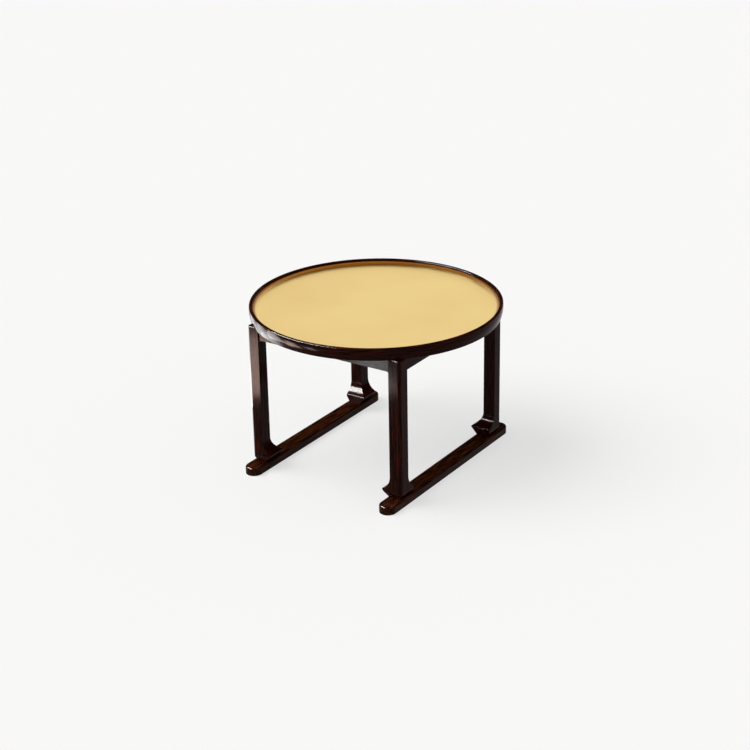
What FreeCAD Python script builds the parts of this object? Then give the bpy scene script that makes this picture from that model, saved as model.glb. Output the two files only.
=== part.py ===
# Low round tray table: a turned tray with a gold plate, on four legs with aprons and two runners.
#
# Frame: millimetres, +Z up, origin on the floor under the middle of the tray.
# X runs across the two runners, Y along them, and the front is -Y.
import FreeCAD, Part
import math
import os

import Sketcher

# Driving dimensions in millimetres, each an alias in the sheet
SIZES = {
    "table_height": 250.0,
    # Tray rim, in section
    "tray_radius": 190.0,
    "rim_height": 18.5,
    "rim_wall": 6.0,
    "rim_foot_inset": 2.4,
    "rim_crown_inset": 0.7,
    "rim_waist_height": 11.0,
    "rim_belly_round": 30.0,
    "rim_edge_round": 1.2,
    "rim_ledge_width": 5.8,
    "rim_ledge_height": 4.0,
    # Board and plate
    "board_thickness": 10.5,
    "plate_thickness": 1.0,
    "plate_cove_width": 5.0,
    "plate_cove_rise": 5.0,
    "seat_clearance": 0.15,
    # Legs, set in from the tray's edge to their outer faces
    "leg_inset_across": 56.0,
    "leg_inset_along": 47.0,
    "leg_width": 19.5,
    "leg_chamfer": 4.0,
    "leg_shoulder_round": 2.0,
    # Foot, measured from the leg's faces and from the runner's top
    "flare_reach": 14.5,
    "flare_height": 13.0,
    "flare_rise": 7.7,
    "flare_cove_radius": 22.0,
    "flare_nose_radius": 1.5,
    "taper_height": 8.5,
    "taper_round": 5.0,
    "base_inset": 4.2,
    "base_reach_across": 4.5,
    "base_reach_along": 12.5,
    # Runners, which run past the legs at both ends
    "runner_overhang": 28.0,
    "runner_width": 26.5,
    "runner_height": 13.0,
    "runner_top_round": 3.0,
    "runner_arris_round": 1.0,
    # Leg tenons in the runners, and their wedges
    "foot_tenon_width": 10.0,
    "foot_tenon_shift": 2.75,
    "foot_tenon_rise": 0.5,
    "wedge_length": 9.0,
    "wedge_height": 9.0,
    "wedge_thick_end": 1.8,
    "wedge_thin_end": 0.6,
    # Aprons and their joints
    "apron_depth": 20.3,
    "apron_thickness": 9.0,
    "apron_setback": 2.5,
    "apron_ear_height": 4.5,
    "apron_ear_width": 1.0,
    "apron_ear_round": 3.5,
    "apron_tenon_thickness": 4.0,
    "apron_tenon_height": 14.0,
    "apron_tenon_drop": 3.0,
    "apron_tongue_margin": 19.5,
    "apron_tongue_thickness": 5.0,
    "apron_tongue_height": 3.2,
    "joint_clearance": 0.1,
    # Pegs
    "apron_peg_radius": 1.5,
    "apron_peg_inset": 5.0,
    "apron_peg_cover": 3.0,
    "apron_peg_spread": 7.0,
    "tray_peg_radius": 2.0,
    "tray_peg_spacing": 120.0,
    "tray_peg_depth": 12.0,
    "peg_clearance": 0.05,
    # How far cutting outlines run past the faces they cut
    "cut_overrun": 2.0,
}

HALF_TURN = 180.0
QUARTER_TURN = 90.0
FULL_TURN = 360.0
ACROSS = FreeCAD.Vector(1, 0, 0)
ALONG = FreeCAD.Vector(0, 1, 0)
VERTICAL = FreeCAD.Vector(0, 0, 1)

# Two places closer than this, in millimetres, count as the same
TOUCH = 1e-4


class Size:
    """A length with its value in millimetres and the sheet formula that gives it."""

    def __init__(self, value, formula):
        self.value = value
        self.formula = formula

    def __add__(self, other):
        other = size(other)
        return Size(self.value + other.value, f"({self.formula} + {other.formula})")

    def __sub__(self, other):
        other = size(other)
        return Size(self.value - other.value, f"({self.formula} - {other.formula})")

    def __mul__(self, factor):
        return Size(self.value * factor, f"({self.formula} * {factor})")

    def __truediv__(self, divisor):
        return Size(self.value / divisor, f"({self.formula} / {divisor})")

    def __neg__(self):
        return Size(-self.value, f"(-{self.formula})")


def size(length):
    """Take a plain number as a size, and leave a size as it is."""
    return length if isinstance(length, Size) else Size(float(length), repr(float(length)))


doc = FreeCAD.newDocument("tray_table")
sheet = doc.addObject("Spreadsheet::Sheet", "Sizes")
for row, (alias, length) in enumerate(SIZES.items(), start=1):
    sheet.set(f"A{row}", alias)
    sheet.set(f"B{row}", str(length))
    sheet.setAlias(f"B{row}", alias)
doc.recompute()


def sheet_size(alias):
    """Read a driving dimension as a size bound to its cell."""
    return Size(float(sheet.get(alias)), f"Sizes.{alias}")


s = {alias: sheet_size(alias) for alias in SIZES}

# Levels and places that several pieces share
tray_underside = s["table_height"] - s["rim_height"]
plate_seat = tray_underside + s["board_thickness"]
rim_inner_radius = s["tray_radius"] - s["rim_wall"]
ledge_radius = rim_inner_radius - s["rim_ledge_width"]
board_radius = rim_inner_radius - s["seat_clearance"]
leg_half = s["leg_width"] / 2
frame_half_width = s["tray_radius"] - s["leg_inset_across"]
frame_half_depth = s["tray_radius"] - s["leg_inset_along"]
leg_axis_x = frame_half_width - leg_half
leg_axis_y = frame_half_depth - leg_half
apron_shift = leg_half - s["apron_setback"] - s["apron_thickness"] / 2
apron_bottom = tray_underside - s["apron_depth"]
apron_tongue_half = frame_half_width - s["leg_width"] - s["apron_tongue_margin"]
apron_tenon_top = tray_underside - s["apron_tenon_drop"]
apron_tenon_bottom = apron_tenon_top - s["apron_tenon_height"]
apron_tenon_middle = apron_tenon_top - s["apron_tenon_height"] / 2
front_peg_level = apron_tenon_middle + s["apron_peg_spread"] / 2
side_peg_level = apron_tenon_middle - s["apron_peg_spread"] / 2


def bind(thing, **lengths):
    """Bind properties of an object to sizes; a double underscore stands for a dot."""
    for name, length in lengths.items():
        thing.setExpression(name.replace("__", "."), size(length).formula)


def place(thing, x=0.0, y=0.0, z=0.0, turn=0.0, axis=VERTICAL):
    """Turn an object about an axis by fixed degrees, and bind its place to sizes."""
    thing.Placement = FreeCAD.Placement(FreeCAD.Vector(), FreeCAD.Rotation(axis, turn))
    bind(thing, Placement__Base__x=x, Placement__Base__y=y, Placement__Base__z=z)


def new_body(label):
    """Start an empty body with its node's name."""
    body = doc.addObject("PartDesign::Body", label)
    body.Label = label
    return body


def new_sketch(body, name, plane, level=0.0):
    """Add a sketch on one of the body's own origin planes, raised along its normal."""
    sketch = body.newObject("Sketcher::SketchObject", name)
    support = next(item for item in body.Origin.OriginFeatures if item.Role == plane)
    sketch.AttachmentSupport = [(support, "")]
    sketch.MapMode = "FlatFace"
    bind(sketch, AttachmentOffset__Base__z=level)
    return sketch


def dimension(sketch, kind, references, length):
    """Add a dimension to a sketch and bind it to a size."""
    index = sketch.addConstraint(Sketcher.Constraint(kind, *references, length.value))
    name = f"{kind}_{index}"
    sketch.renameConstraint(index, name)
    sketch.setExpression(f"Constraints.{name}", length.formula)


def pin(sketch, geometry, point, x, y):
    """Fix a point of a sketch at x and y from the sketch's origin."""
    dimension(sketch, "DistanceX", (-1, 1, geometry, point), x)
    dimension(sketch, "DistanceY", (-1, 1, geometry, point), y)


def round_off(before, corner, after, radius):
    """Give the points where a round leaves and rejoins the sides of a corner, its arc and its sense."""
    back = (before - corner).normalize()
    ahead = (after - corner).normalize()
    opening = back.getAngle(ahead)
    run = radius / math.tan(opening / 2)
    centre = corner + (back + ahead).normalize() * (radius / math.sin(opening / 2))
    leave = corner + back * run
    join = corner + ahead * run
    left_turn = ahead.cross(back).z > 0
    first, last = (leave, join) if left_turn else (join, leave)
    ring = Part.Circle(centre, VERTICAL, radius)
    arc = Part.ArcOfCircle(ring, ring.parameter(first), ring.parameter(last))
    return leave, join, arc, left_turn


def outline(sketch, corners):
    """Draw a closed outline through corners (x, y) or (x, y, round radius), all bound to sizes."""
    corners = [tuple(size(item) for item in corner) for corner in corners]
    points = [FreeCAD.Vector(corner[0].value, corner[1].value, 0) for corner in corners]
    count = len(corners)
    starts = list(points)
    ends = list(points)
    rounds = {}
    for index, corner in enumerate(corners):
        if len(corner) == 3:
            neighbours = points[index - 1], points[index], points[(index + 1) % count]
            leave, join, arc, left_turn = round_off(*neighbours, corner[2].value)
            ends[index] = leave
            starts[index] = join
            rounds[index] = arc, left_turn

    lines = []
    for index in range(count):
        following = (index + 1) % count
        lines.append(sketch.addGeometry(Part.LineSegment(starts[index], ends[following])))
    for index, corner in enumerate(corners):
        before = lines[index - 1]
        after = lines[index]
        if index not in rounds:
            sketch.addConstraint(Sketcher.Constraint("Coincident", before, 2, after, 1))
            pin(sketch, after, 1, corner[0], corner[1])
            continue
        arc_shape, left_turn = rounds[index]
        arc = sketch.addGeometry(arc_shape)
        leave_end, join_end = (1, 2) if left_turn else (2, 1)
        sharp = sketch.addGeometry(Part.Point(points[index]), True)
        pin(sketch, sharp, 1, corner[0], corner[1])
        sketch.addConstraint(Sketcher.Constraint("PointOnObject", sharp, 1, before))
        sketch.addConstraint(Sketcher.Constraint("PointOnObject", sharp, 1, after))
        sketch.addConstraint(Sketcher.Constraint("Tangent", before, 2, arc, leave_end))
        sketch.addConstraint(Sketcher.Constraint("Tangent", after, 1, arc, join_end))
        dimension(sketch, "Radius", (arc,), corner[2])


def rectangle(sketch, left, right, low, high):
    """Draw a rectangle between two x values and two y values."""
    outline(sketch, [(left, low), (right, low), (right, high), (left, high)])


def circle(sketch, x, y, radius):
    """Draw a circle with its centre and radius bound to sizes."""
    centre = FreeCAD.Vector(size(x).value, size(y).value, 0)
    ring = sketch.addGeometry(Part.Circle(centre, VERTICAL, radius.value))
    pin(sketch, ring, 3, size(x), size(y))
    dimension(sketch, "Radius", (ring,), radius)


def extrude(body, kind, sketch, length, symmetric=False, backwards=False):
    """Add a pad or a pocket of a given length to a body."""
    feature = body.newObject(f"PartDesign::{kind}", f"{sketch.Name}_{kind.lower()}")
    feature.Profile = sketch
    feature.SideType = "Symmetric" if symmetric else "One side"
    feature.Reversed = backwards
    bind(feature, Length=length)
    doc.recompute()


def revolve(body, sketch):
    """Turn a sketch in the upright plane a full turn about the body's vertical axis."""
    feature = body.newObject("PartDesign::Revolution", f"{sketch.Name}_turned")
    feature.Profile = sketch
    feature.ReferenceAxis = (sketch, ["V_Axis"])
    feature.Angle = FULL_TURN
    doc.recompute()


def bore(body, name, radius, length, x, y, z, turn=0.0, axis=VERTICAL):
    """Cut a round hole from a point, along +Z turned about an axis."""
    hole = body.newObject("PartDesign::SubtractiveCylinder", name)
    bind(hole, Radius=radius, Height=length)
    place(hole, x, y, z, turn, axis)
    doc.recompute()


def round_edges(body, name, radius, wanted):
    """Round the edges of a body's last feature that a test picks out."""
    base = body.Tip
    edges = [f"Edge{number}" for number, edge in enumerate(base.Shape.Edges, start=1) if wanted(edge)]
    feature = body.newObject("PartDesign::Fillet", name)
    feature.Base = (base, edges)
    bind(feature, Radius=radius)
    doc.recompute()


def at_level(edge, level):
    """Tell whether an edge lies flat at a level."""
    return all(abs(vertex.Z - level.value) < TOUCH for vertex in edge.Vertexes)


def make_rim():
    """Turn the rim: a bellied wall with a ledge inside its foot for the board."""
    body = new_body("tray_rim")
    section = new_sketch(body, "rim_section", "XZ_Plane")
    foot_radius = s["tray_radius"] - s["rim_foot_inset"]
    crown_radius = s["tray_radius"] - s["rim_crown_inset"]
    ledge_top = tray_underside + s["rim_ledge_height"]
    outline(section, [
        (ledge_radius, tray_underside),
        (foot_radius, tray_underside, s["rim_edge_round"]),
        (s["tray_radius"], tray_underside + s["rim_waist_height"], s["rim_belly_round"]),
        (crown_radius, s["table_height"], s["rim_edge_round"]),
        (rim_inner_radius, s["table_height"], s["rim_edge_round"]),
        (rim_inner_radius, ledge_top),
        (ledge_radius, ledge_top),
    ])
    revolve(body, section)
    return body


def make_board():
    """Turn the board that drops into the rim, groove it for the aprons and bore it for the pegs."""
    body = new_body("tray_board")
    section = new_sketch(body, "board_section", "XZ_Plane")
    spigot_radius = ledge_radius - s["seat_clearance"]
    spigot_top = tray_underside + s["rim_ledge_height"]
    outline(section, [
        (0.0, tray_underside),
        (spigot_radius, tray_underside),
        (spigot_radius, spigot_top),
        (board_radius, spigot_top),
        (board_radius, plate_seat),
        (0.0, plate_seat),
    ])
    revolve(body, section)

    grooves = new_sketch(body, "apron_grooves", "XY_Plane", tray_underside)
    holes = new_sketch(body, "peg_holes", "XY_Plane", plate_seat)
    half_length = apron_tongue_half + s["joint_clearance"]
    half_width = s["apron_tongue_thickness"] / 2 + s["joint_clearance"]
    half_spacing = s["tray_peg_spacing"] / 2
    for side in (-1, 1):
        across = (leg_axis_y + apron_shift) * side
        along = (leg_axis_x + apron_shift) * side
        rectangle(grooves, -half_length, half_length, across - half_width, across + half_width)
        rectangle(grooves, along - half_width, along + half_width, -half_length, half_length)
        for end in (-1, 1):
            circle(holes, half_spacing * end, across, s["tray_peg_radius"] + s["peg_clearance"])
            circle(holes, along, half_spacing * end, s["tray_peg_radius"] + s["peg_clearance"])
    extrude(body, "Pocket", grooves, s["apron_tongue_height"] + s["joint_clearance"], backwards=True)
    extrude(body, "Pocket", holes, s["board_thickness"])
    return body


def make_plate():
    """Spin the thin plate: flat in the middle, with a cove that sweeps up to its edge."""
    body = new_body("top_plate")
    section = new_sketch(body, "plate_section", "XZ_Plane")
    thickness = s["plate_thickness"].value
    rise = s["plate_cove_rise"].value
    width = s["plate_cove_width"].value
    edge = board_radius.value
    flat = edge - width
    low = plate_seat.value
    sweep = (width ** 2 + rise ** 2) / (2 * rise)
    lean = 2 * math.atan2(rise, width)

    def cove_point(radius, angle):
        """Give a point of a cove about the common centre above the end of the flat."""
        return FreeCAD.Vector(flat + radius * math.sin(angle), low + sweep - radius * math.cos(angle), 0)

    inner = sweep - thickness
    corners = [
        FreeCAD.Vector(0, low, 0),
        cove_point(sweep, 0.0),
        cove_point(sweep, lean),
        cove_point(inner, lean),
        cove_point(inner, 0.0),
        FreeCAD.Vector(0, low + thickness, 0),
    ]
    under = section.addGeometry(Part.LineSegment(corners[0], corners[1]))
    outer_cove = section.addGeometry(Part.Arc(corners[1], cove_point(sweep, lean / 2), corners[2]))
    edge_line = section.addGeometry(Part.LineSegment(corners[2], corners[3]))
    inner_cove = section.addGeometry(Part.Arc(corners[4], cove_point(inner, lean / 2), corners[3]))
    face = section.addGeometry(Part.LineSegment(corners[4], corners[5]))
    axis_line = section.addGeometry(Part.LineSegment(corners[5], corners[0]))
    for first, first_end, second, second_end in (
        (axis_line, 2, under, 1),
        (outer_cove, 2, edge_line, 1),
        (edge_line, 2, inner_cove, 2),
        (face, 2, axis_line, 1),
    ):
        section.addConstraint(Sketcher.Constraint("Coincident", first, first_end, second, second_end))
    section.addConstraint(Sketcher.Constraint("Tangent", under, 2, outer_cove, 1))
    section.addConstraint(Sketcher.Constraint("Tangent", face, 1, inner_cove, 1))
    section.addConstraint(Sketcher.Constraint("Horizontal", face))
    section.addConstraint(Sketcher.Constraint("Coincident", outer_cove, 3, inner_cove, 3))
    section.addConstraint(Sketcher.Constraint("PointOnObject", outer_cove, 3, edge_line))
    pin(section, under, 1, size(0.0), plate_seat)
    pin(section, outer_cove, 2, board_radius, plate_seat + s["plate_cove_rise"])
    pin(section, under, 2, board_radius - s["plate_cove_width"], plate_seat)
    pin(section, axis_line, 1, size(0.0), plate_seat + s["plate_thickness"])
    revolve(body, section)
    return body


def leg_outline(base_reach):
    """Give the corners of a leg seen from the side, with its outer face towards plus."""
    floor = s["runner_height"]
    flare_tip = -leg_half - s["flare_reach"]
    flare_level = floor + s["flare_height"]
    return [
        (leg_half, tray_underside, s["leg_shoulder_round"]),
        (-leg_half, tray_underside),
        (-leg_half, flare_level + s["flare_rise"], s["flare_cove_radius"]),
        (flare_tip, flare_level, s["flare_nose_radius"]),
        (-leg_half - base_reach, floor),
        (leg_half - s["base_inset"], floor),
        (leg_half, floor + s["taper_height"], s["taper_round"]),
    ]


def make_leg(label, side_x, side_y, quarter_turns):
    """Make a leg about its own axis, with its outer faces towards +X and +Y before it is turned."""
    body = new_body(label)
    reach = leg_half + s["flare_reach"] + s["cut_overrun"]

    # The foot's base stops at the runner's edge across it, and spreads further along it
    base_reaches = [s["base_reach_across"], s["base_reach_along"]]
    if quarter_turns % 2:
        base_reaches.reverse()

    # The leg is what two side outlines, taken at right angles, have in common
    front_view = new_sketch(body, f"{label}_front_view", "XZ_Plane")
    outline(front_view, leg_outline(base_reaches[0]))
    extrude(body, "Pad", front_view, reach * 2, symmetric=True)
    side_view = new_sketch(body, f"{label}_side_view", "YZ_Plane")
    outline(side_view, leg_outline(base_reaches[1]))
    rectangle(side_view, -reach, reach,
              s["runner_height"] - s["cut_overrun"], tray_underside + s["cut_overrun"])
    extrude(body, "Pocket", side_view, reach * 2, symmetric=True)

    corner_cut = new_sketch(body, f"{label}_corner_cut", "XY_Plane")
    outline(corner_cut, [
        (leg_half + s["cut_overrun"], leg_half - s["leg_chamfer"] - s["cut_overrun"]),
        (leg_half + s["cut_overrun"], leg_half + s["cut_overrun"]),
        (leg_half - s["leg_chamfer"] - s["cut_overrun"], leg_half + s["cut_overrun"]),
    ])
    extrude(body, "Pocket", corner_cut, s["table_height"], backwards=True)

    tenon_half = s["foot_tenon_width"] / 2
    tenon = new_sketch(body, f"{label}_foot_tenon", "XY_Plane", s["foot_tenon_rise"])
    low = -s["foot_tenon_shift"] - tenon_half
    high = -s["foot_tenon_shift"] + tenon_half
    rectangle(tenon, low, high, low, high)
    extrude(body, "Pad", tenon, s["runner_height"] - s["foot_tenon_rise"] + s["cut_overrun"])

    # The kerf for the wedge lies across the runner, whichever way the leg is turned
    kerf_plane = "XZ_Plane" if quarter_turns % 2 else "YZ_Plane"
    kerf = new_sketch(body, f"{label}_kerf", kerf_plane)
    kerf_middle = -s["foot_tenon_shift"]
    kerf_top = s["foot_tenon_rise"] + s["wedge_height"]
    outline(kerf, [
        (kerf_middle - s["wedge_thick_end"] / 2, s["foot_tenon_rise"]),
        (kerf_middle + s["wedge_thick_end"] / 2, s["foot_tenon_rise"]),
        (kerf_middle + s["wedge_thin_end"] / 2, kerf_top),
        (kerf_middle - s["wedge_thin_end"] / 2, kerf_top),
    ])
    extrude(body, "Pocket", kerf, reach * 2, symmetric=True)

    # Both apron mortises meet in one L-shaped slot
    mortises = new_sketch(body, f"{label}_mortises", "XY_Plane", apron_tenon_bottom - s["joint_clearance"])
    near = apron_shift - s["apron_tenon_thickness"] / 2 - s["joint_clearance"]
    far = apron_shift + s["apron_tenon_thickness"] / 2 + s["joint_clearance"]
    mouth = -leg_half - s["cut_overrun"]
    outline(mortises, [(mouth, near), (near, near), (near, mouth), (far, mouth), (far, far), (mouth, far)])
    extrude(body, "Pocket", mortises, s["apron_tenon_height"] + s["joint_clearance"] * 2, backwards=True)

    levels = [front_peg_level, side_peg_level]
    if quarter_turns % 2:
        levels.reverse()
    hole_radius = s["apron_peg_radius"] + s["peg_clearance"]
    hole_length = s["leg_width"] - s["apron_peg_cover"]
    bore(body, f"{label}_x_peg_hole", hole_radius, hole_length, -s["apron_peg_inset"], -leg_half, levels[0],
         turn=-QUARTER_TURN, axis=ACROSS)
    bore(body, f"{label}_y_peg_hole", hole_radius, hole_length, -leg_half, -s["apron_peg_inset"], levels[1],
         turn=QUARTER_TURN, axis=ALONG)
    place(body, leg_axis_x * side_x, leg_axis_y * side_y, 0.0, QUARTER_TURN * quarter_turns)
    return body


def make_runner(label, side):
    """Make a runner with half-round ends, rounded on top, with a mortise for each of its legs."""
    body = new_body(label)
    plan = new_sketch(body, f"{label}_plan", "XY_Plane")
    half_width = s["runner_width"] / 2
    centre_y = frame_half_depth + s["runner_overhang"] - half_width
    right = FreeCAD.Vector(half_width.value, centre_y.value, 0)
    left = FreeCAD.Vector(-half_width.value, centre_y.value, 0)
    tip = FreeCAD.Vector(0, centre_y.value + half_width.value, 0)
    front_side = plan.addGeometry(Part.LineSegment(-left, right))
    back_end = plan.addGeometry(Part.Arc(right, tip, left))
    other_side = plan.addGeometry(Part.LineSegment(left, -right))
    front_end = plan.addGeometry(Part.Arc(-right, -tip, -left))
    for first, second in (
        (front_side, back_end), (back_end, other_side), (other_side, front_end), (front_end, front_side),
    ):
        plan.addConstraint(Sketcher.Constraint("Tangent", first, 2, second, 1))
    pin(plan, back_end, 3, size(0.0), centre_y)
    pin(plan, front_end, 3, size(0.0), -centre_y)
    dimension(plan, "Radius", (back_end,), half_width)
    dimension(plan, "Radius", (front_end,), half_width)
    extrude(body, "Pad", plan, s["runner_height"])
    round_edges(body, f"{label}_top_round", s["runner_top_round"],
                lambda edge: at_level(edge, s["runner_height"]))
    round_edges(body, f"{label}_arris", s["runner_arris_round"], lambda edge: at_level(edge, size(0.0)))

    mortises = new_sketch(body, f"{label}_mortises", "XY_Plane")
    half = s["foot_tenon_width"] / 2 + s["joint_clearance"]
    middle_x = half_width - leg_half - s["foot_tenon_shift"]
    middle_y = leg_axis_y - s["foot_tenon_shift"]
    for end in (-1, 1):
        rectangle(mortises, middle_x - half, middle_x + half, middle_y * end - half, middle_y * end + half)
    extrude(body, "Pocket", mortises, s["runner_height"], backwards=True)
    place(body, (frame_half_width - half_width) * side, 0.0, 0.0, 0.0 if side > 0 else HALF_TURN)
    return body


def make_apron(label, half_span, distance, peg_level, turn):
    """Make an apron along X with mitred tenons and a tongue, then turn it about the table's axis."""
    body = new_body(label)
    shoulder = half_span - s["leg_width"]
    ear_bottom = apron_bottom - s["apron_ear_height"]
    ear_inside = shoulder - s["apron_ear_width"]
    front_view = new_sketch(body, f"{label}_front_view", "XZ_Plane")
    outline(front_view, [
        (-shoulder, tray_underside),
        (-shoulder, ear_bottom),
        (-ear_inside, ear_bottom),
        (-ear_inside, apron_bottom),
        (ear_inside, apron_bottom),
        (ear_inside, ear_bottom),
        (shoulder, ear_bottom),
        (shoulder, tray_underside),
    ])
    extrude(body, "Pad", front_view, s["apron_thickness"], symmetric=True)

    def in_ear_corner(edge):
        """Pick the inside corners where the lower edge turns down into the ears."""
        across = edge.BoundBox.XLength < TOUCH and at_level(edge, apron_bottom)
        return across and abs(abs(edge.CenterOfMass.x) - ear_inside.value) < TOUCH
    round_edges(body, f"{label}_ear_rounds", s["apron_ear_round"], in_ear_corner)

    tenons = new_sketch(body, f"{label}_tenons", "XY_Plane", apron_tenon_bottom)
    half_thickness = s["apron_tenon_thickness"] / 2
    root = shoulder - s["cut_overrun"]
    mitre = half_span - leg_half + apron_shift - s["joint_clearance"]
    outline(tenons, [
        (-root, -half_thickness),
        (-mitre + half_thickness, -half_thickness),
        (-mitre - half_thickness, half_thickness),
        (-root, half_thickness),
    ])
    outline(tenons, [
        (root, -half_thickness),
        (mitre - half_thickness, -half_thickness),
        (mitre + half_thickness, half_thickness),
        (root, half_thickness),
    ])
    extrude(body, "Pad", tenons, s["apron_tenon_height"])

    tongue = new_sketch(body, f"{label}_tongue", "XY_Plane", tray_underside - s["cut_overrun"])
    half_tongue = s["apron_tongue_thickness"] / 2
    rectangle(tongue, -apron_tongue_half, apron_tongue_half, -half_tongue, half_tongue)
    extrude(body, "Pad", tongue, s["apron_tongue_height"] + s["cut_overrun"])

    for end in (-1, 1):
        peg_x = (half_span - leg_half - s["apron_peg_inset"]) * end
        bore(body, f"{label}_tenon_hole", s["apron_peg_radius"] + s["peg_clearance"], s["apron_thickness"],
             peg_x, -s["apron_thickness"] / 2, peg_level, turn=-QUARTER_TURN, axis=ACROSS)
        bore(body, f"{label}_tray_peg_hole", s["tray_peg_radius"] + s["peg_clearance"],
             s["tray_peg_depth"] + s["apron_tongue_height"], s["tray_peg_spacing"] / 2 * end, 0.0,
             tray_underside - s["tray_peg_depth"])
    away = FreeCAD.Rotation(VERTICAL, turn).multVec(ALONG)
    place(body, distance * round(away.x), distance * round(away.y), 0.0, turn)
    return body


def group(label, members):
    """Hold separate solids together as one node."""
    compound = doc.addObject("Part::Compound", label)
    compound.Label = label
    compound.Links = members
    return compound


def peg(name, radius, length, x, y, z, turn=0.0, axis=VERTICAL):
    """Make a round peg from a point, along +Z turned about an axis."""
    pin_solid = doc.addObject("Part::Cylinder", name)
    bind(pin_solid, Radius=radius, Height=length)
    place(pin_solid, x, y, z, turn, axis)
    return pin_solid


def make_apron_pegs():
    """Make the pegs that lock the apron tenons, each driven outwards from the inside of a leg."""
    length = s["leg_width"] - s["apron_peg_cover"]
    pegs = []
    for side_x in (-1, 1):
        for side_y in (-1, 1):
            pegs.append(peg("front_apron_peg", s["apron_peg_radius"], length,
                            (leg_axis_x - s["apron_peg_inset"]) * side_x, (leg_axis_y - leg_half) * side_y,
                            front_peg_level, -QUARTER_TURN * side_y, ACROSS))
            pegs.append(peg("side_apron_peg", s["apron_peg_radius"], length,
                            (leg_axis_x - leg_half) * side_x, (leg_axis_y - s["apron_peg_inset"]) * side_y,
                            side_peg_level, QUARTER_TURN * side_x, ALONG))
    return group("apron_pegs", pegs)


def make_tray_pegs():
    """Make the pegs that hold the board down on the aprons, level with the board's top."""
    low = tray_underside - s["tray_peg_depth"]
    length = plate_seat - low
    half_spacing = s["tray_peg_spacing"] / 2
    pegs = []
    for side in (-1, 1):
        for end in (-1, 1):
            pegs.append(peg("front_tray_peg", s["tray_peg_radius"], length,
                            half_spacing * end, (leg_axis_y + apron_shift) * side, low))
            pegs.append(peg("side_tray_peg", s["tray_peg_radius"], length,
                            (leg_axis_x + apron_shift) * side, half_spacing * end, low))
    return group("tray_pegs", pegs)


def make_wedges():
    """Make the wedge in each foot tenon, thick end down, lying across the runner."""
    wedges = []
    thick = s["wedge_thick_end"] / 2
    thin = s["wedge_thin_end"] / 2
    half_length = s["wedge_length"] / 2
    for side_x in (-1, 1):
        for side_y in (-1, 1):
            wedge = doc.addObject("Part::Wedge", "tenon_wedge")
            bind(wedge, Xmin=-half_length, Xmax=half_length, X2min=-half_length, X2max=half_length,
                 Ymin=0.0, Ymax=s["wedge_height"], Zmin=-thick, Zmax=thick, Z2min=-thin, Z2max=thin)
            place(wedge, (leg_axis_x - s["foot_tenon_shift"]) * side_x,
                  (leg_axis_y - s["foot_tenon_shift"]) * side_y, s["foot_tenon_rise"], QUARTER_TURN, ACROSS)
            wedges.append(wedge)
    return group("tenon_wedges", wedges)


nodes = [
    make_rim(),
    make_board(),
    make_plate(),
    make_leg("leg_back_right", 1, 1, 0),
    make_leg("leg_back_left", -1, 1, 1),
    make_leg("leg_front_left", -1, -1, 2),
    make_leg("leg_front_right", 1, -1, 3),
    make_runner("runner_left", -1),
    make_runner("runner_right", 1),
    make_apron("apron_back", frame_half_width, leg_axis_y + apron_shift, front_peg_level, 0.0),
    make_apron("apron_left", frame_half_depth, leg_axis_x + apron_shift, side_peg_level, QUARTER_TURN),
    make_apron("apron_front", frame_half_width, leg_axis_y + apron_shift, front_peg_level, HALF_TURN),
    make_apron("apron_right", frame_half_depth, leg_axis_x + apron_shift, side_peg_level, -QUARTER_TURN),
    make_apron_pegs(),
    make_tray_pegs(),
    make_wedges(),
]
doc.recompute()

failed = [item.Name for item in doc.Objects if "Invalid" in item.State or "Error" in item.State]
failed += [item.Name for item in doc.Objects
           if item.TypeId == "Sketcher::SketchObject" and not item.FullyConstrained]
failed += [node.Label for node in nodes if node.Shape.isNull() or not node.Shape.isValid()]
if failed:
    raise RuntimeError("these objects failed: " + ", ".join(failed))

os.makedirs("parts", exist_ok=True)
for node in nodes:
    node.Shape.exportStep(f"parts/{node.Label}.step")
    print(f"{node.Label}: {len(node.Shape.Solids)} solids, {node.Shape.Volume:.1f} cubic mm")
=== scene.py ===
"""The looks of a low round tray table: turned rim, gold plate, flared legs, studio and camera.

Lengths are in metres in the part's own frame: +Z up, X across the runners, the front towards -Y.
"""

import logging
import math
from dataclasses import dataclass
from enum import Enum
from typing import Any

import bmesh
import bpy
import numpy as np
from mathutils import Matrix, Vector

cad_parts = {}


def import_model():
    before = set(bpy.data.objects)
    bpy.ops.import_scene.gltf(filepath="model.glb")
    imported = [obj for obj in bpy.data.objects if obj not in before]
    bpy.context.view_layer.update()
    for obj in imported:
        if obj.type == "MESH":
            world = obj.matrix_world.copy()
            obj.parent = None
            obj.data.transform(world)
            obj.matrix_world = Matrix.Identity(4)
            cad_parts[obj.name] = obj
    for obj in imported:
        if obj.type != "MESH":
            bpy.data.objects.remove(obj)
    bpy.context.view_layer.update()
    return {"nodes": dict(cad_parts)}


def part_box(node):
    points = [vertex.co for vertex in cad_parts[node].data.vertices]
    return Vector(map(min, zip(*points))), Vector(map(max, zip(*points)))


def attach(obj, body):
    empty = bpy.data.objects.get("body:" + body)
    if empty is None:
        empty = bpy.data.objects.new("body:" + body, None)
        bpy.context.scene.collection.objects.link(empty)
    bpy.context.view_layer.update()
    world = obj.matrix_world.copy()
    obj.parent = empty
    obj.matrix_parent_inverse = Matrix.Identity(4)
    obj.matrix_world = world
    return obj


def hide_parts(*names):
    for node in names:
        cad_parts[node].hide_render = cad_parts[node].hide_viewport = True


Colour = tuple[float, float, float, float]
Place = tuple[float, float, float]
Corner = tuple[float, float, float]
Point = tuple[float, float]
Span = tuple[float, float]

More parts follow.
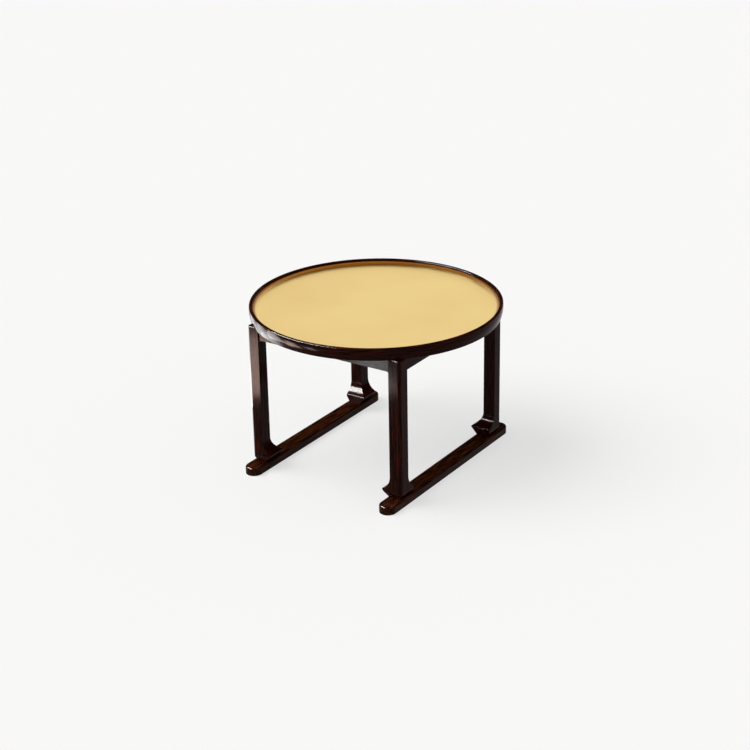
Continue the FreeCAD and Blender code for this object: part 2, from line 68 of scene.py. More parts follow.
LOG = logging.getLogger("tray_table")
MM = 0.001
ROOT_BODY = "root"
WHITE: Colour = (1.0, 1.0, 1.0, 1.0)
WHITE_LIGHT = "#FFFFFF"
BUMP_STRENGTH = 0.2
WELD_DISTANCE = 0.001 * MM
LEVEL_TOLERANCE = 0.01 * MM
HEIGHT_DIGITS = 7
# The legs and the signs of their places in X and Y, by quarter turns from the back right
LEG_CORNERS = {
    "leg_back_right": (1, 1),
    "leg_back_left": (-1, 1),
    "leg_front_left": (-1, -1),
    "leg_front_right": (1, -1),
}


class Slot(Enum):
    """The record's material slots, which nothing in this script uses."""

    LACQUER = "lacquered_wood"
    BRASS = "satin_brass"


class Grain(Enum):
    """Which way the wood's grain runs in a piece."""

    UPRIGHT = "upright"
    ALONG_X = "along_x"
    ALONG_Y = "along_y"
    AROUND = "around"


class LightReach(Enum):
    """How a lamp treats the piece that it is linked to."""

    ONLY_THIS = "INCLUDE"
    ALL_BUT_THIS = "EXCLUDE"


def linear(code: str) -> Colour:
    """Turn an sRGB hex colour into linear values.

    Args:
        code: The colour as "#RRGGBB".

    Returns:
        Red, green, blue and an alpha of 1.
    """
    values = [int(code[i:i + 2], 16) / 255 for i in (1, 3, 5)]
    red, green, blue = (
        v / 12.92 if v <= 0.04045 else ((v + 0.055) / 1.055) ** 2.4 for v in values)
    return red, green, blue, 1.0


def add_node(tree: bpy.types.NodeTree, kind: str, inputs: dict[Any, Any] | None = None,
             **settings: Any) -> bpy.types.Node:
    """Add a node with its settings, values and links.

    Args:
        tree: The node tree.
        kind: The node's type name.
        inputs: Input name or number, to a value or to the output socket that feeds it.
        **settings: The node's own properties.

    Returns:
        The new node.
    """
    node = tree.nodes.new(kind)
    for name, value in settings.items():
        setattr(node, name, value)
    for key, value in (inputs or {}).items():
        if isinstance(value, bpy.types.NodeSocket):
            tree.links.new(value, node.inputs[key])
        else:
            node.inputs[key].default_value = value
    return node


def new_material(name: str) -> tuple[bpy.types.Material, bpy.types.NodeTree]:
    """Start a node material with nothing in it.

    Args:
        name: The material's name.

    Returns:
        The material and its empty node tree.
    """
    material = bpy.data.materials.new(name)
    material.use_nodes = True
    material.node_tree.nodes.clear()
    return material, material.node_tree


def add_ramp(tree: bpy.types.NodeTree, factor: bpy.types.NodeSocket, low: tuple[float, str],
             high: tuple[float, str]) -> bpy.types.NodeSocket:
    """Colour a pattern with a ramp between two colours.

    Args:
        tree: The material's node tree.
        factor: The pattern.
        low: The value up to which the first colour holds, and that colour.
        high: The value from which the second colour holds, and that colour.

    Returns:
        The colour.
    """
    ramp = add_node(tree, "ShaderNodeValToRGB", {"Fac": factor})
    for element, (position, code) in zip(ramp.color_ramp.elements, (low, high)):
        element.position = position
        element.color = linear(code)
    return ramp.outputs["Color"]


def add_bump(tree: bpy.types.NodeTree, height: bpy.types.NodeSocket,
             depth: float) -> bpy.types.NodeSocket:
    """Let a pattern roughen the shading of a surface.

    Args:
        tree: The material's node tree.
        height: The pattern.
        depth: How deep it seems.

    Returns:
        The surface's normal.
    """
    return add_node(tree, "ShaderNodeBump", {
        "Height": height, "Strength": BUMP_STRENGTH, "Distance": depth}).outputs["Normal"]


@dataclass(frozen=True)
class Noise:
    """A noise pattern: the size of its largest blots, and how much finer detail lies in them."""

    size: float
    detail: float = 2.0
    roughness: float = 0.5

    def add(self, tree: bpy.types.NodeTree, vector: bpy.types.NodeSocket) -> bpy.types.NodeSocket:
        """Add the pattern to a material.

        Args:
            tree: The material's node tree.
            vector: The coordinates that it is laid out on.

        Returns:
            The pattern, from 0 to 1.
        """
        return add_node(tree, "ShaderNodeTexNoise", {
            "Vector": vector, "Scale": 1 / self.size, "Detail": self.detail,
            "Roughness": self.roughness}).outputs["Fac"]


@dataclass(frozen=True)
class LacqueredWood:
    """Open-grained hardwood under many thin coats of dark lacquer, rubbed to a gloss."""

    grain: Grain
    dark: str = "#0F0302"
    brown: str = "#4A180A"
    dark_to: float = 0.44
    brown_from: float = 0.68
    streaks: Noise = Noise(1.0, detail=5.0, roughness=0.65)
    streak_width: float = 1.6 * MM
    streak_length: float = 30.0 * MM
    turned_radius: float = 190.0 * MM
    peel: Noise = Noise(2.2 * MM, roughness=0.6)
    peel_depth: float = 0.06 * MM
    roughness: float = 0.14
    specular: float = 0.03

    def grain_vector(self, tree: bpy.types.NodeTree) -> bpy.types.NodeSocket:
        """Stretch object coordinates so that one unit is one streak across or one streak along.

        Args:
            tree: The material's node tree.

        Returns:
            The stretched coordinates.
        """
        place = add_node(tree, "ShaderNodeTexCoord").outputs["Object"]
        across, along = 1 / self.streak_width, 1 / self.streak_length
        if self.grain is Grain.AROUND:
            parts = add_node(tree, "ShaderNodeSeparateXYZ", {0: place}).outputs
            angle = add_node(tree, "ShaderNodeMath", {0: parts["Y"], 1: parts["X"]},
                             operation="ARCTAN2")
            reach = add_node(tree, "ShaderNodeVectorMath", {0: place}, operation="LENGTH")
            arc = add_node(tree, "ShaderNodeMath", {0: angle.outputs[0], 1: self.turned_radius},
                           operation="MULTIPLY")
            place = add_node(tree, "ShaderNodeCombineXYZ", {
                "X": arc.outputs[0], "Y": reach.outputs["Value"], "Z": parts["Z"]}).outputs[0]
        scale = {
            Grain.UPRIGHT: (across, across, along),
            Grain.ALONG_X: (along, across, across),
            Grain.ALONG_Y: (across, along, across),
            Grain.AROUND: (along, across, across),
        }[self.grain]
        return add_node(tree, "ShaderNodeMapping", {"Vector": place, "Scale": scale}).outputs[0]

    def build(self) -> bpy.types.Material:
        """Make the material.

        Returns:
            The finished material.
        """
        material, tree = new_material(f"dark lacquer on wood, grain {self.grain.value}")
        # Long pores show through the lacquer as thin red-brown streaks
        streaks = self.streaks.add(tree, self.grain_vector(tree))
        colour = add_ramp(tree, streaks, (self.dark_to, self.dark), (self.brown_from, self.brown))
        # Brushed coats are never quite even, so reflections waver and break up
        place = add_node(tree, "ShaderNodeTexCoord").outputs["Object"]
        normal = add_bump(tree, self.peel.add(tree, place), self.peel_depth)
        shader = add_node(tree, "ShaderNodeBsdfPrincipled", {
            "Base Color": colour, "Roughness": self.roughness,
            "Specular IOR Level": self.specular, "Normal": normal})
        add_node(tree, "ShaderNodeOutputMaterial", {"Surface": shader.outputs["BSDF"]})
        return material


@dataclass(frozen=True)
class SatinBrass:
    """Rolled brass sheet rubbed to a satin and gilded: pale warm gold with a fine even grain."""

    pale: str = "#EBD687"
    warm: str = "#E4CC7E"
    pale_to: float = 0.35
    warm_from: float = 0.7
    drift: Noise = Noise(160.0 * MM)
    # Painted dark reflection on the cove: a browner gold from this reach outwards
    painted_cove_shade: str = "#9C662A"
    painted_cove_shade_from: float = 178.6 * MM
    painted_cove_shade_to: float = 182.4 * MM
    grit: Noise = Noise(1.1 * MM, roughness=0.7)
    grit_depth: float = 0.03 * MM
    roughness: float = 0.3

    def build(self) -> bpy.types.Material:
        """Make the material.

        Returns:
            The finished material.
        """
        material, tree = new_material("satin gilded brass")
        place = add_node(tree, "ShaderNodeTexCoord").outputs["Object"]
        # Broad drifts of tone, as hand rubbing leaves them
        tone = add_ramp(tree, self.drift.add(tree, place), (self.pale_to, self.pale),
                        (self.warm_from, self.warm))
        # The cove is painted browner all round: a painted dark reflection, the orange-brown that
        # coved gold shows where it faces away from the light
        flat = add_node(tree, "ShaderNodeVectorMath", {0: place, 1: (1.0, 1.0, 0.0)},
                        operation="MULTIPLY")
        reach = add_node(tree, "ShaderNodeVectorMath", {0: flat.outputs["Vector"]},
                         operation="LENGTH")
        painted_shade_mask = add_node(tree, "ShaderNodeMapRange", {
            "Value": reach.outputs["Value"], "From Min": self.painted_cove_shade_from,
            "From Max": self.painted_cove_shade_to})
        colour = add_node(tree, "ShaderNodeMix", {
            "Factor": painted_shade_mask.outputs["Result"], "A": tone, "B": linear(self.painted_cove_shade)},
            data_type="RGBA")
        # The grit of the rubbing, drawn about ten times too coarse so that it shows
        normal = add_bump(tree, self.grit.add(tree, place), self.grit_depth)
        shader = add_node(tree, "ShaderNodeBsdfPrincipled", {
            "Base Color": colour.outputs["Result"], "Metallic": 1.0,
            "Roughness": self.roughness, "Normal": normal})
        add_node(tree, "ShaderNodeOutputMaterial", {"Surface": shader.outputs["BSDF"]})
        return material


@dataclass(frozen=True)
class PegWood:
    """Plain split hardwood of the pegs and wedges: dry, pale brown end grain."""

    pale: str = "#8A6642"
    dark: str = "#6B4A2C"
    dark_to: float = 0.3
    pale_from: float = 0.7
    speckle: Noise = Noise(0.8 * MM)
    roughness: float = 0.7

    def build(self) -> bpy.types.Material:
        """Make the material.

        Returns:
            The finished material.
        """
        material, tree = new_material("plain peg wood")
        place = add_node(tree, "ShaderNodeTexCoord").outputs["Object"]
        # Cut pores speckle the ends
        colour = add_ramp(tree, self.speckle.add(tree, place), (self.dark_to, self.dark),
                          (self.pale_from, self.pale))
        shader = add_node(tree, "ShaderNodeBsdfPrincipled", {
            "Base Color": colour, "Roughness": self.roughness})
        add_node(tree, "ShaderNodeOutputMaterial", {"Surface": shader.outputs["BSDF"]})
        return material


def dress(piece: bpy.types.Object, material: bpy.types.Material) -> None:
    """Give a piece one material all over.

    Args:
        piece: The object.
        material: Its material.
    """
    piece.data.materials.clear()
    piece.data.materials.append(material)


def finish_piece(bm: bmesh.types.BMesh, name: str, node: str,
                 material: bpy.types.Material, smooth_below: float = 35.0) -> bpy.types.Object:
    """Turn a bmesh into a piece that stands for a CAD node.

    Args:
        bm: The mesh, in the part's frame; it is freed.
        name: The new object's name.
        node: The CAD node that it replaces.
        material: The piece's material.
        smooth_below: Edges that turn by fewer degrees than this are shaded smooth.

    Returns:
        The new object.
    """
    bmesh.ops.remove_doubles(bm, verts=bm.verts, dist=WELD_DISTANCE)
    bmesh.ops.recalc_face_normals(bm, faces=bm.faces)
    for face in bm.faces:
        face.smooth = True
    mesh = bpy.data.meshes.new(name)
    bm.to_mesh(mesh)
    bm.free()
    mesh.set_sharp_from_angle(angle=math.radians(smooth_below))
    piece = bpy.data.objects.new(name, mesh)
    bpy.context.scene.collection.objects.link(piece)
    dress(piece, material)
    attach(piece, ROOT_BODY)
    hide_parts(node)
    LOG.info("%s: %d faces", name, len(mesh.polygons))
    return piece


def rounded(corners: list[Corner], steps: int = 8) -> list[Point]:
    """Round the inner corners of an open line.

    Args:
        corners: Across, up and round radius of each corner; the ends' radii aren't read.
        steps: Straight steps in each round.

    Returns:
        The points of the rounded line.
    """
    places = [Vector((corner[0], corner[1])) for corner in corners]
    line = [tuple(places[0])]
    for before, corner, after, (_, _, radius) in zip(places, places[1:], places[2:], corners[1:]):
        back, ahead = (before - corner).normalized(), (after - corner).normalized()
        half_opening = back.angle(ahead) / 2
        centre = corner + (back + ahead).normalized() * (radius / math.sin(half_opening))
        leave = corner + back * (radius / math.tan(half_opening)) - centre
        join = corner + ahead * (radius / math.tan(half_opening)) - centre
        for step in range(steps + 1):
            along = leave.lerp(join, step / steps).normalized() * radius
            line.append(tuple(centre + along))
    line.append(tuple(places[-1]))
    return line


def turned(section: list[Point], segments: int = 256) -> bmesh.types.BMesh:
    """Turn a section about the vertical axis.

    Args:
        section: Radius and height of each point, in order.
        segments: Steps in the full turn.

    Returns:
        The turned mesh.
    """
    bm = bmesh.new()
    points = [bm.verts.new((radius, 0.0, height)) for radius, height in section]
    edges = [bm.edges.new(pair) for pair in zip(points, points[1:])]
    bmesh.ops.spin(bm, geom=points + edges, cent=(0, 0, 0), axis=(0, 0, 1), angle=2 * math.pi,
                   steps=segments, use_merge=True)
    return bm


@dataclass
class TrayRim:
    """The turned hoop around the tray."""

    radius: float = 190.0 * MM
    foot_inset: float = 2.4 * MM
    crown_inset: float = 0.7 * MM
    waist_height: float = 11.0 * MM
    wall: float = 6.0 * MM
    belly_round: float = 30.0 * MM
    edge_round: float = 1.2 * MM
    ledge_width: float = 5.8 * MM
    ledge_height: float = 4.0 * MM
    ledge_round: float = 0.2 * MM

    def build(self, material: bpy.types.Material) -> bpy.types.Object:
        """Turn the rim in the place of the CAD one.

        Args:
            material: The rim's lacquer.

        Returns:
            The rim.
        """
        low, high = (corner.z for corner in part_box("tray_rim"))
        inner = self.radius - self.wall
        ledge = inner - self.ledge_width
        section = rounded([
            (ledge, low, 0.0),
            (self.radius - self.foot_inset, low, self.edge_round),
            (self.radius, low + self.waist_height, self.belly_round),
            (self.radius - self.crown_inset, high, self.edge_round),
            (inner, high, self.edge_round),
            (inner, low + self.ledge_height, self.ledge_round),
            (ledge, low + self.ledge_height, 0.0),
        ])
        return finish_piece(turned(section + section[:1]), "rim_turned", "tray_rim",
                            material)


@dataclass
class TopPlate:
    """The gold plate with its coved edge."""

    thickness: float = 1.0 * MM
    cove_width: float = 5.0 * MM
    cove_rise: float = 5.0 * MM
    lip_round: float = 0.3 * MM
    round_steps: int = 10

    def build(self, material: bpy.types.Material) -> bpy.types.Object:
        """Spin the plate in the place of the CAD one.

        Args:
            material: The plate's metal.

        Returns:
            The plate.
        """
        lowest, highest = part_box("top_plate")
        edge, low = highest.x, lowest.z
        flat = edge - self.cove_width
        sweep = (self.cove_width ** 2 + self.cove_rise ** 2) / (2 * self.cove_rise)
        lean = 2 * math.atan2(self.cove_rise, self.cove_width)
        inner = sweep - self.thickness
        end = Vector((edge, low + self.cove_rise))
        inward = Vector((-math.sin(lean), math.cos(lean))) * self.thickness
        section = rounded([
            (0.0, low, 0.0),
            (flat + sweep * math.tan(lean / 2), low, sweep),
            (end.x, end.y, self.lip_round),
            (end.x + inward.x, end.y + inward.y, self.lip_round),
            (flat + inner * math.tan(lean / 2), low + self.thickness, inner),
            (0.0, low + self.thickness, 0.0),
        ], self.round_steps)
        return finish_piece(turned(section), "plate_spun", "top_plate", material)


@dataclass
class Leg:
    """A square leg with a chamfered outer corner, a rounded shoulder and a flared foot."""

    node: str
    quarter_turns: int
    frame_width: float = 268.0 * MM
    frame_depth: float = 286.0 * MM
    width: float = 19.5 * MM
    chamfer: float = 4.0 * MM
    shoulder_round: float = 2.0 * MM
    arris_round: float = 0.7 * MM
    arris_steps: int = 3
    arris_turn: float = math.radians(30.0)
    flare_reach: float = 14.5 * MM
    flare_height: float = 13.0 * MM
    flare_rise: float = 7.7 * MM
    flare_cove: float = 22.0 * MM
    flare_nose: float = 1.5 * MM
    taper_height: float = 8.5 * MM
    taper_round: float = 5.0 * MM
    base_inset: float = 4.2 * MM
    base_reach_across: float = 4.5 * MM
    base_reach_along: float = 12.5 * MM
    tenon_width: float = 10.0 * MM
    tenon_shift: float = 2.75 * MM
    tenon_rise: float = 0.5 * MM
    kerf: float = 1.8 * MM
    smooth_below: float = 14.0

    def inner_line(self, base_reach: float, foot: float, top: float) -> np.ndarray:
        """Draw the flared side of the leg from its foot up.

        Args:
            base_reach: How far the base reaches in from the leg's face.
            foot: The height of the foot.
            top: The height of the top.

        Returns:
            The reaches and the heights of the line's points, as two rows.
        """
        half = self.width / 2
        return np.array(rounded([
            (half + base_reach, foot, 0.0),
            (half + self.flare_reach, foot + self.flare_height, self.flare_nose),
            (half, foot + self.flare_height + self.flare_rise, self.flare_cove),
            (half, top, 0.0),
        ])).T

    def outer_line(self, foot: float, top: float) -> np.ndarray:
        """Draw the outer side of the leg from its foot up, with its taper and its shoulder.

        Args:
            foot: The height of the foot.
            top: The height of the top.

        Returns:
            The reaches and the heights of the line's points, as two rows.
        """
        half = self.width / 2
        line = rounded([
            (half - self.base_inset, foot, 0.0),
            (half, foot + self.taper_height, self.taper_round),
            (half, top, self.shoulder_round),
            (half - self.shoulder_round, top, 0.0),
        ])
        # The shoulder's round already ends flat on the top, which the rim hides
        return np.array(line[:-1]).T

    def sections(self) -> list[tuple[Vector, Vector]]:
        """Work out the leg's rectangle at each level.

        Returns:
            The middle of each rectangle and its half spans, from the foot up.
        """
        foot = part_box("runner_left")[1].z
        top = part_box("tray_rim")[0].z
        reaches = [self.base_reach_across, self.base_reach_along]
        if self.quarter_turns % 2:
            reaches.reverse()
        inner_x, inner_y = (self.inner_line(reach, foot, top) for reach in reaches)
        outer = self.outer_line(foot, top)
        levels = np.concatenate([inner_x[1], inner_y[1], outer[1]])
        heights = np.unique(np.round(levels, HEIGHT_DIGITS))
        low_x, low_y = (-np.interp(heights, line[1], line[0]) for line in (inner_x, inner_y))
        high = np.interp(heights, outer[1], outer[0])
        middles = np.column_stack([(low_x + high) / 2, (low_y + high) / 2, heights])
        spans = np.column_stack([(high - low_x) / 2, (high - low_y) / 2, np.ones_like(heights)])
        return [(Vector(middle), Vector(span))
                for middle, span in zip(middles.tolist(), spans.tolist())]

    def raise_shaft(self, bm: bmesh.types.BMesh) -> None:
        """Draw the leg's faces up through its sections.

        Args:
            bm: The leg's mesh, still empty.
        """
        (middle, span), *levels = self.sections()
        foot = middle.z
        bmesh.ops.create_grid(bm, x_segments=1, y_segments=1, size=1.0,
                              matrix=Matrix.LocRotScale(middle, None, span))
        top = list(bm.faces)
        for number, (new_middle, new_span) in enumerate(levels):
            grown = bmesh.ops.extrude_face_region(bm, geom=top)
            if number:
                # Only the foot keeps its cap, so that no faces are left inside
                bmesh.ops.delete(bm, geom=top, context="FACES_ONLY")
            top = [item for item in grown["geom"] if isinstance(item, bmesh.types.BMFace)]
            ring = [item for item in grown["geom"] if isinstance(item, bmesh.types.BMVert)]
            ratio = (new_span.x / span.x, new_span.y / span.y, 1.0)
            bmesh.ops.scale(bm, vec=ratio, space=Matrix.Translation(-middle), verts=ring)
            bmesh.ops.translate(bm, vec=new_middle - middle, verts=ring)
            middle, span = new_middle, new_span
        bmesh.ops.recalc_face_normals(bm, faces=bm.faces)
        self.cut_corner(bm)
        self.soften(bm, foot, middle.z)

    def cut_corner(self, bm: bmesh.types.BMesh) -> None:
        """Plane off the outer corner.

        Args:
            bm: The leg's mesh, before it is turned.
        """
        half = self.width / 2
        everything = bm.verts[:] + bm.edges[:] + bm.faces[:]
        cut = bmesh.ops.bisect_plane(bm, geom=everything,
                                     plane_co=(half, half - self.chamfer, 0.0),
                                     plane_no=(1.0, 1.0, 0.0), clear_outer=True)
        rim = [item for item in cut["geom_cut"] if isinstance(item, bmesh.types.BMEdge)]
        bmesh.ops.edgeloop_fill(bm, edges=rim)

    def soften(self, bm: bmesh.types.BMesh, foot: float, top: float) -> None:
        """Round the long arrises a little.

        Args:
            bm: The leg's mesh, before it is turned.
            foot: The height of the foot, whose edges stay sharp.
            top: The height of the top, whose edges stay sharp.
        """
        def on_cap(edge: bmesh.types.BMEdge) -> bool:
            """Tell whether an edge bounds the foot or the top."""
            return any(all(abs(vert.co.z - cap) < LEVEL_TOLERANCE for vert in edge.verts)
                       for cap in (foot, top))

        arrises = [edge for edge in bm.edges if edge.is_manifold and not on_cap(edge)
                   and edge.calc_face_angle() > self.arris_turn]
        bmesh.ops.bevel(bm, geom=arrises, offset=self.arris_round, segments=self.arris_steps,
                        profile=0.5, affect="EDGES", material=-1, clamp_overlap=True)

    def add_tenon(self, bm: bmesh.types.BMesh) -> None:
        """Add the two halves of the foot tenon, on either side of the wedge.

        Args:
            bm: The leg's mesh, before it is turned.
        """
        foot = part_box("runner_left")[1].z
        cheek = (self.tenon_width - self.kerf) / 2
        middle = Vector((-self.tenon_shift, -self.tenon_shift, (self.tenon_rise + foot) / 2))
        span = [self.tenon_width, cheek, foot - self.tenon_rise, 1.0]
        away = Vector((0.0, (self.kerf + cheek) / 2, 0.0))
        if self.quarter_turns % 2:
            span[0], span[1] = span[1], span[0]
            away.x, away.y = away.y, away.x
        for side in (-1, 1):
            matrix = Matrix.Translation(middle + away * side) @ Matrix.Diagonal(span)
            bmesh.ops.create_cube(bm, size=1.0, matrix=matrix)

    def build(self, material: bpy.types.Material) -> bpy.types.Object:
        """Draw the leg up from its foot in the place of the CAD one.

        Args:
            material: The leg's lacquer.

        Returns:
            The leg.
        """
        bm = bmesh.new()
        self.raise_shaft(bm)
        self.add_tenon(bm)
        turn = Matrix.Rotation(self.quarter_turns * math.pi / 2, 3, "Z")
        bmesh.ops.rotate(bm, cent=(0, 0, 0), matrix=turn, verts=bm.verts)
        side_x, side_y = LEG_CORNERS[self.node]
        axis_x = side_x * (self.frame_width - self.width) / 2
        axis_y = side_y * (self.frame_depth - self.width) / 2
        bmesh.ops.translate(bm, vec=(axis_x, axis_y, 0.0), verts=bm.verts)
        return finish_piece(bm, f"{self.node}_shaped", self.node, material,
                            self.smooth_below)


@dataclass
class PhotoCamera:
    """The camera that was fitted to the photograph."""

    azimuth: float = math.radians(34.01)
    elevation: float = math.radians(23.29)
    roll: float = math.radians(-1.07)
    distance: float = 2741.7 * MM
    target: Place = (-8.92 * MM, 6.93 * MM, 125.0 * MM)
    lens: float = 86.4
    sensor_width: float = 36.0

    def build(self) -> None:
        """Place the camera and make it the scene's own."""
        level = math.cos(self.elevation)
        back = Vector((math.sin(self.azimuth) * level, -math.cos(self.azimuth) * level,
                       math.sin(self.elevation)))
        right = Vector((math.cos(self.azimuth), math.sin(self.azimuth), 0.0))
        upright = Matrix((right, back.cross(right), back)).transposed()
        turn = upright @ Matrix.Rotation(self.roll, 3, "Z")
        place = Vector(self.target) + back * self.distance
        data = bpy.data.cameras.new("photo camera")
        data.sensor_width = self.sensor_width
        data.lens = self.lens
        camera = bpy.data.objects.new("photo camera", data)
        camera.matrix_world = Matrix.LocRotScale(place, turn, None)
        bpy.context.scene.collection.objects.link(camera)
        bpy.context.scene.camera = camera


def seen_directly(tree: bpy.types.NodeTree) -> bpy.types.NodeSocket:
    """Tell the rays that show a surface itself from those that only gather its light.

    Args:
        tree: The node tree of a material or a world.

    Returns:
        1 for camera, glossy and transmission rays, and 0 for the others.
    """
    rays = add_node(tree, "ShaderNodeLightPath").outputs
    seen = rays["Is Camera Ray"]
    for kind in ("Is Glossy Ray", "Is Transmission Ray"):
        seen = add_node(tree, "ShaderNodeMath", {0: seen, 1: rays[kind]},
                        operation="MAXIMUM").outputs[0]
    return seen


def add_lamp(data: bpy.types.Light, matrix: Matrix) -> bpy.types.Object:
    """Put a lamp in the scene.

    Args:
        data: The lamp's light.
        matrix: Its place and turn; it shines along its own -Z.

    Returns:
        The lamp.
    """
    lamp = bpy.data.objects.new(data.name, data)
    lamp.matrix_world = matrix
    bpy.context.scene.collection.objects.link(lamp)
    return lamp


def link_light(lamp: bpy.types.Object, piece: bpy.types.Object, reach: LightReach) -> None:
    """Keep a lamp's light off one piece, or on that piece alone.

    Args:
        lamp: The lamp.
        piece: The piece.
        reach: Which of the two.
    """
    receivers = bpy.data.collections.new(f"{lamp.name} receivers")
    receivers.objects.link(piece)
    receivers.collection_objects[0].light_linking.link_state = reach.value
    lamp.light_linking.receiver_collection = receivers


@dataclass(frozen=True)
class Sheet:
    """A rectangular lamp that shows only in reflections, with its power in watts."""

    name: str
    span: Span
    power: float
    tint: str = WHITE_LIGHT

    def add(self, matrix: Matrix) -> bpy.types.Object:
        """Put the lamp in the scene.

        Args:
            matrix: Its place and turn.

        Returns:
            The lamp.
        """
        data = bpy.data.lights.new(self.name, "AREA")
        data.shape = "RECTANGLE"
        data.size, data.size_y = self.span
        data.energy = self.power
        data.color = linear(self.tint)[:3]
        lamp = add_lamp(data, matrix)
        lamp.visible_camera = False
        lamp.visible_diffuse = False
        return lamp

    def face(self, place: Place, target: Place) -> bpy.types.Object:
        """Stand the lamp so that it faces a point.

        Args:
            place: Where its middle is.
            target: The point that it faces.

        Returns:
            The lamp.
        """
        turn = (Vector(place) - Vector(target)).to_track_quat("Z", "Y")
        return self.add(Matrix.LocRotScale(Vector(place), turn, None))


@dataclass(frozen=True)
class FloorCard:
    """A bright card that lies on the floor, turned by some degrees about the vertical."""

    sheet: Sheet
    place: Point
    turn: float
    height: float = 4.0 * MM

    def build(self) -> None:
        """Lay the card with its bright side up."""
        spin = Matrix.Rotation(math.radians(self.turn), 4, "Z")
        face_up = Matrix.Rotation(math.pi, 4, "X")
        self.sheet.add(Matrix.Translation((*self.place, self.height)) @ spin @ face_up)


# The cards give the bars of light on the front left leg, the front apron and the rim's left
FLOOR_CARDS = (
    FloorCard(Sheet("leg card", (0.13, 0.34), 7.7, "#FFDECF"), (-0.405, -0.500), -50.3),
    FloorCard(Sheet("apron card", (0.07, 0.18), 1.6), (-0.213, -0.574), -50.3),
    FloorCard(Sheet("rim card 1", (0.69, 0.22), 15.0), (-0.728, -0.397), 18.1),
    FloorCard(Sheet("rim card 2", (0.83, 0.22), 7.0), (-0.725, -0.145), -1.8),
    FloorCard(Sheet("rim card 3", (0.83, 0.22), 2.3), (-0.706, 0.089), -21.8),
)


@dataclass
class PlateLights:
    """Sheets all round that only the plate reflects, so that it is gold from every side."""

    middle: Place = (0.0, 0.0, 0.25)
    sides: int = 4
    first_side: float = 34.0
    distance: float = 3.0
    height: float = 1.6
    span: Span = (6.0, 2.2)
    power: float = 37.0
    ceiling: Sheet = Sheet("plate ceiling", (4.0, 4.0), 12.6, "#FFDC86")
    ceiling_height: float = 2.6

    def build(self, plate: bpy.types.Object) -> None:
        """Stand the sheets around the plate and hang a dimmer one over it.

        Args:
            plate: The gold plate.
        """
        lamps = []
        for side in range(self.sides):
            angle = math.radians(self.first_side + side * 360.0 / self.sides)
            place = (math.sin(angle) * self.distance, -math.cos(angle) * self.distance, self.height)
            sheet = Sheet(f"plate panel {side + 1}", self.span, self.power)
            lamps.append(sheet.face(place, self.middle))
        lamps.append(self.ceiling.face((0.0, 0.0, self.ceiling_height), self.middle))
        for lamp in lamps:
            link_light(lamp, plate, LightReach.ONLY_THIS)


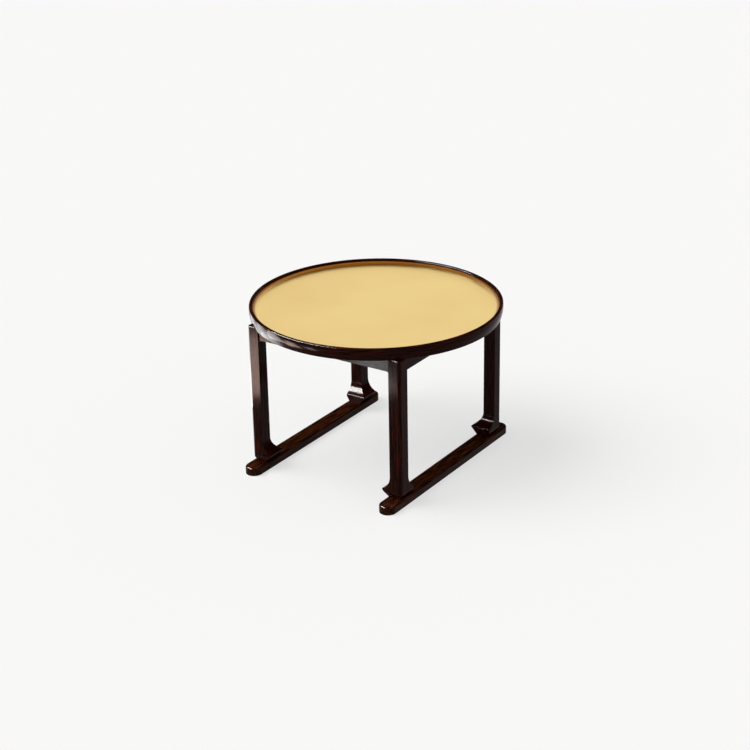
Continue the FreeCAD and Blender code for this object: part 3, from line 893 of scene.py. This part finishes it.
@dataclass
class Studio:
    """A pale floor under soft even light, with lamps that show only as reflections."""

    floor_colour: str = "#F6F5F3"
    floor_bounce: str = "#8C8A88"
    floor_radius: float = 9.0
    floor_segments: int = 96
    floor_white: float = 0.6
    ambient: float = 0.45
    ceiling: str = "#6E4526"
    white_to: float = 0.03
    ceiling_from: float = 0.10
    sun_place: Place = (-0.52, -0.40, 0.76)
    sun_strength: float = 2.0
    sun_spread: float = math.radians(50.0)
    window: Sheet = Sheet("wide window", (2.1, 1.02), 1950.0)
    window_place: Place = (-1.054, -1.054, 1.43)
    window_target: Place = (0.0, 0.0, 0.1)

    def build(self, plate: bpy.types.Object) -> None:
        """Make the floor, the world and the lamps.

        Args:
            plate: The gold plate, which has lamps of its own instead of the sun and the window.
        """
        self.add_floor()
        self.add_world()
        sun = self.add_sun()
        window = self.window.face(self.window_place, self.window_target)
        for card in FLOOR_CARDS:
            card.build()
        for lamp in (window, sun):
            link_light(lamp, plate, LightReach.ALL_BUT_THIS)
        PlateLights().build(plate)

    def add_floor(self) -> None:
        """Lay the floor, which looks whiter than the light on it but keeps the table's shadow."""
        material, tree = new_material("matt pale paper")
        # The paper throws less light back at the table than it shows
        tone = add_node(tree, "ShaderNodeMix", {
            "Factor": seen_directly(tree), "A": linear(self.floor_bounce),
            "B": linear(self.floor_colour)}, data_type="RGBA")
        shader = add_node(tree, "ShaderNodeBsdfPrincipled", {
            "Base Color": tone.outputs["Result"], "Roughness": 1.0, "Specular IOR Level": 0.0})
        white = add_node(tree, "ShaderNodeEmission", {"Color": WHITE, "Strength": 1.0})
        share = add_node(tree, "ShaderNodeMath", {0: seen_directly(tree), 1: self.floor_white},
                         operation="MULTIPLY")
        surface = add_node(tree, "ShaderNodeMixShader", {
            0: share.outputs[0], 1: shader.outputs["BSDF"], 2: white.outputs["Emission"]})
        add_node(tree, "ShaderNodeOutputMaterial", {"Surface": surface.outputs[0]})
        bm = bmesh.new()
        bmesh.ops.create_circle(bm, cap_ends=True, segments=self.floor_segments,
                                radius=self.floor_radius)
        mesh = bpy.data.meshes.new("floor")
        bm.to_mesh(mesh)
        bm.free()
        floor = bpy.data.objects.new("floor", mesh)
        bpy.context.scene.collection.objects.link(floor)
        dress(floor, material)

    def add_world(self) -> None:
        """Make the backdrop white near the floor where it is seen, and dimmer as a light."""
        world = bpy.data.worlds.new("studio")
        world.use_nodes = True
        bpy.context.scene.world = world
        tree = world.node_tree
        tree.nodes.clear()
        direction = add_node(tree, "ShaderNodeTexCoord").outputs["Generated"]
        height = add_node(tree, "ShaderNodeSeparateXYZ", {0: direction}).outputs["Z"]
        # White just above the floor, then falling off to a dim warm ceiling
        rise = add_node(tree, "ShaderNodeMapRange", {
            "Value": height, "From Min": self.white_to, "From Max": self.ceiling_from})
        backdrop = add_node(tree, "ShaderNodeMix", {
            "Factor": rise.outputs["Result"], "A": WHITE, "B": linear(self.ceiling)},
            data_type="RGBA")
        colour = add_node(tree, "ShaderNodeMix", {
            "Factor": seen_directly(tree), "A": (self.ambient, self.ambient, self.ambient, 1.0),
            "B": backdrop.outputs["Result"]}, data_type="RGBA")
        light = add_node(tree, "ShaderNodeBackground", {
            "Color": colour.outputs["Result"], "Strength": 1.0})
        add_node(tree, "ShaderNodeOutputWorld", {"Surface": light.outputs["Background"]})

    def add_sun(self) -> bpy.types.Object:
        """Light the whole scene evenly from one side, with a wide disc that softens shadows.

        Returns:
            The lamp.
        """
        data = bpy.data.lights.new("soft key", "SUN")
        data.energy = self.sun_strength
        data.angle = self.sun_spread
        turn = Vector(self.sun_place).to_track_quat("Z", "Y")
        return add_lamp(data, turn.to_matrix().to_4x4())


def dress_cad_nodes(nodes: dict[str, bpy.types.Object], lacquers: dict[Grain, bpy.types.Material],
                    thin_lacquer: bpy.types.Material, peg_wood: bpy.types.Material) -> None:
    """Give the CAD nodes that stay their materials.

    Args:
        nodes: The CAD nodes by name.
        lacquers: The lacquer for each run of the grain.
        thin_lacquer: The thinner lacquer on the runners, which lets more grain through.
        peg_wood: The wood of pegs and wedges.
    """
    finishes = {
        "tray_board": lacquers[Grain.ALONG_X],
        "runner_left": thin_lacquer,
        "runner_right": thin_lacquer,
        "apron_front": lacquers[Grain.ALONG_X],
        "apron_back": lacquers[Grain.ALONG_X],
        "apron_left": lacquers[Grain.ALONG_Y],
        "apron_right": lacquers[Grain.ALONG_Y],
        "apron_pegs": peg_wood,
        "tray_pegs": peg_wood,
        "tenon_wedges": peg_wood,
    }
    for name, material in finishes.items():
        dress(nodes[name], material)


def main() -> None:
    """Build the table's looks, the studio and the camera."""
    logging.basicConfig(level=logging.INFO, format="%(name)s: %(message)s")
    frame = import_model()
    bpy.context.scene.view_settings.view_transform = "Standard"

    lacquers = {grain: LacqueredWood(grain).build() for grain in Grain}
    thin_lacquer = LacqueredWood(Grain.ALONG_Y, brown="#5A2A12").build()
    dress_cad_nodes(frame["nodes"], lacquers, thin_lacquer, PegWood().build())
    TrayRim().build(lacquers[Grain.AROUND])
    plate = TopPlate().build(SatinBrass().build())
    for quarter_turns, node in enumerate(LEG_CORNERS):
        Leg(node, quarter_turns).build(lacquers[Grain.UPRIGHT])
    Studio().build(plate)
    PhotoCamera().build()


if __name__ == "__main__":
    main()
